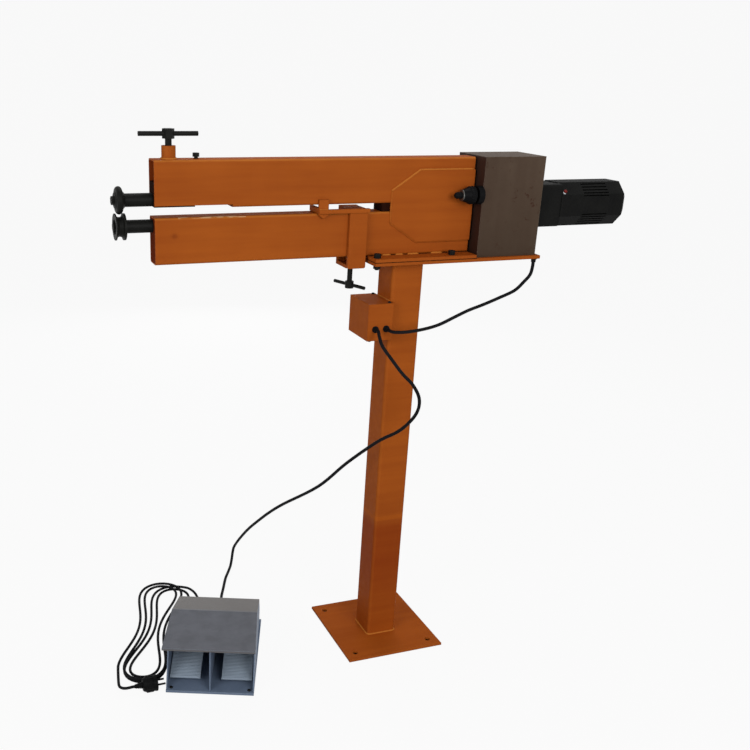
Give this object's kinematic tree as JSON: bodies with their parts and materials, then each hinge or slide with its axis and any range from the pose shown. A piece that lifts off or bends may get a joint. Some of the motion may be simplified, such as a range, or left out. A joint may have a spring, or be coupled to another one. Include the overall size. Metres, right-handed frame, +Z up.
{
  "type": "motor-driven bead roller",
  "caption": "Motor-driven deep-throat bead roller on a floor post, with geared roller shafts, a screw-down upper shaft, a sliding fence and a hooded foot pedal on cables.",
  "frame": {"origin": "middle of the base plate's underside, on the floor, on the post's axis", "axes": "+X along the beams from the rollers to the motor, -Y the operator's side, +Z up"},
  "size_m": [1.3, 0.673, 1.308],
  "materials": {
    "frame_paint": "satin orange-brown paint",
    "bare_sheet": "bare rolled sheet, dull",
    "gear_steel": "machined",
    "dark_steel": "blackened",
    "bright_steel": "ground",
    "bronze": "plain bearing",
    "motor_alloy": "black paint on castings",
    "pedal_paint": "fine grey-blue paint",
    "black_plastic": "matt",
    "black_rubber": "matt"
  },
  "bodies": {
    "stand": {"base_plate": "frame_paint", "post_tube": "frame_paint", "post_top_plate": "frame_paint", "frame_foot_plate": "frame_paint", "foot_plate_bolts": "dark_steel", "lower_beam": "frame_paint", "upper_beam": "frame_paint", "throat_spacer": "frame_paint", "throat_gussets": "frame_paint", "lower_bearing_blocks": "frame_paint", "lower_bushes": "bronze", "screw_boss": "frame_paint", "carriage_pivot": "bright_steel", "gear_cover": "bare_sheet", "motor_plate": "frame_paint", "gearbox_case": "motor_alloy", "motor_housing": "motor_alloy", "stator": "gear_steel", "fan_cowl": "motor_alloy", "terminal_box": "black_plastic", "selector_switch": "black_plastic", "control_box": "frame_paint", "control_lid": "frame_paint", "contactor": "black_plastic", "panel_screws": "dark_steel", "cable_glands": "black_rubber", "motor_cable": "black_rubber", "pedal_cable": "black_rubber", "mains_run": "black_rubber", "mains_hank": "black_rubber", "mains_plug": "black_plastic", "pedal_base": "pedal_paint", "pedal_housing": "pedal_paint", "pedal_hood": "pedal_paint", "treadle_pin": "bright_steel", "treadle_springs": "bright_steel", "treadle_switches": "black_plastic"},
    "lower_spindle": {"lower_shaft": "dark_steel", "lower_roller": "dark_steel", "lower_roller_screw": "dark_steel", "lower_gear": "gear_steel", "output_gear": "gear_steel"},
    "carriage": {"swing_carriage": "dark_steel", "carriage_bushes": "bronze", "lift_bolt": "dark_steel"},
    "upper_spindle": {"upper_shaft": "dark_steel", "upper_roller": "dark_steel", "upper_roller_screw": "dark_steel", "upper_gear": "gear_steel"},
    "screw_pad": {"pressure_pad": "dark_steel"},
    "screw": {"pressure_screw": "dark_steel"},
    "fence": {"fence_bracket": "frame_paint"},
    "fence_shoe": {"fence_pad": "dark_steel"},
    "fence_clamp": {"fence_screw": "dark_steel"},
    "gear_train": {"layshaft": "gear_steel"},
    "motor_rotor": {"rotor": "bright_steel", "cooling_fan": "black_plastic"},
    "selector": {"selector_lever": "black_plastic"},
    "left_pedal": {"left_treadle": "pedal_paint"},
    "right_pedal": {"right_treadle": "pedal_paint"}
  },
  "joints": [
    {"name": "motor_spin", "type": "hinge", "parent": "stand", "child": "motor_rotor", "pos_m": [0.46, 0, 1.1335], "axis": [1, 0, 0], "continuous": true},
    {"name": "layshaft_spin", "type": "hinge", "parent": "stand", "child": "gear_train", "pos_m": [0.36, 0.02122, 1.12125], "axis": [1, 0, 0], "continuous": true},
    {"name": "lower_roller_spin", "type": "hinge", "parent": "stand", "child": "lower_spindle", "pos_m": [-0.6, 0, 1.109], "axis": [1, 0, 0], "continuous": true},
    {"name": "pressure_travel", "type": "slide", "parent": "stand", "child": "screw_pad", "axis": [0, 0, 1], "range_m": [-0.003, 0.008]},
    {"name": "pressure_turn", "type": "hinge", "parent": "screw_pad", "child": "screw", "pos_m": [-0.559, 0, 1.298], "axis": [0, 0, 1], "range_deg": [-541, 1441]},
    {"name": "carriage_swing", "type": "hinge", "parent": "stand", "child": "carriage", "pos_m": [0.14, 0, 1.191], "axis": [0, 1, 0], "range_deg": [-0.25, 0.66]},
    {"name": "upper_roller_spin", "type": "hinge", "parent": "carriage", "child": "upper_spindle", "pos_m": [-0.6, 0, 1.164], "axis": [1, 0, 0], "continuous": true},
    {"name": "fence_travel", "type": "slide", "parent": "stand", "child": "fence", "axis": [1, 0, 0], "range_m": [-0.355, 0.004]},
    {"name": "clamp_travel", "type": "slide", "parent": "fence", "child": "fence_shoe", "axis": [0, 0, 1], "range_m": [-0.006, 0]},
    {"name": "clamp_turn", "type": "hinge", "parent": "fence_shoe", "child": "fence_clamp", "pos_m": [-0.131, 0, 0.958], "axis": [0, 0, 1], "range_deg": [-1236, 1]},
    {"name": "selector_throw", "type": "hinge", "parent": "stand", "child": "selector", "pos_m": [0.154, -0.051, 1.164], "axis": [0, 1, 0], "range_deg": [-12, 12]},
    {"name": "left_treadle_press", "type": "hinge", "parent": "stand", "child": "left_pedal", "pos_m": [-0.42578, 0.07039, 0.075], "axis": [0.9336, -0.3584, 0], "range_deg": [0, 2.8], "stiffness_Nm_per_rad": 4, "springref_deg": -22.92},
    {"name": "right_treadle_press", "type": "hinge", "parent": "stand", "child": "right_pedal", "pos_m": [-0.42578, 0.07039, 0.075], "axis": [0.9336, -0.3584, 0], "range_deg": [0, 2.8], "stiffness_Nm_per_rad": 4, "springref_deg": -22.92}
  ],
  "couplings": [
    {"joint": "layshaft_spin", "follows": "motor_spin", "ratio": -0.25},
    {"joint": "lower_roller_spin", "follows": "motor_spin", "ratio": 0.0625},
    {"joint": "upper_roller_spin", "follows": "motor_spin", "ratio": -0.0625},
    {"joint": "pressure_turn", "follows": "pressure_travel", "rad_per_m": 3141.6},
    {"joint": "carriage_swing", "follows": "pressure_travel", "rad_per_m": 1.4306},
    {"joint": "clamp_turn", "follows": "clamp_travel", "rad_per_m": 3590.4}
  ]
}
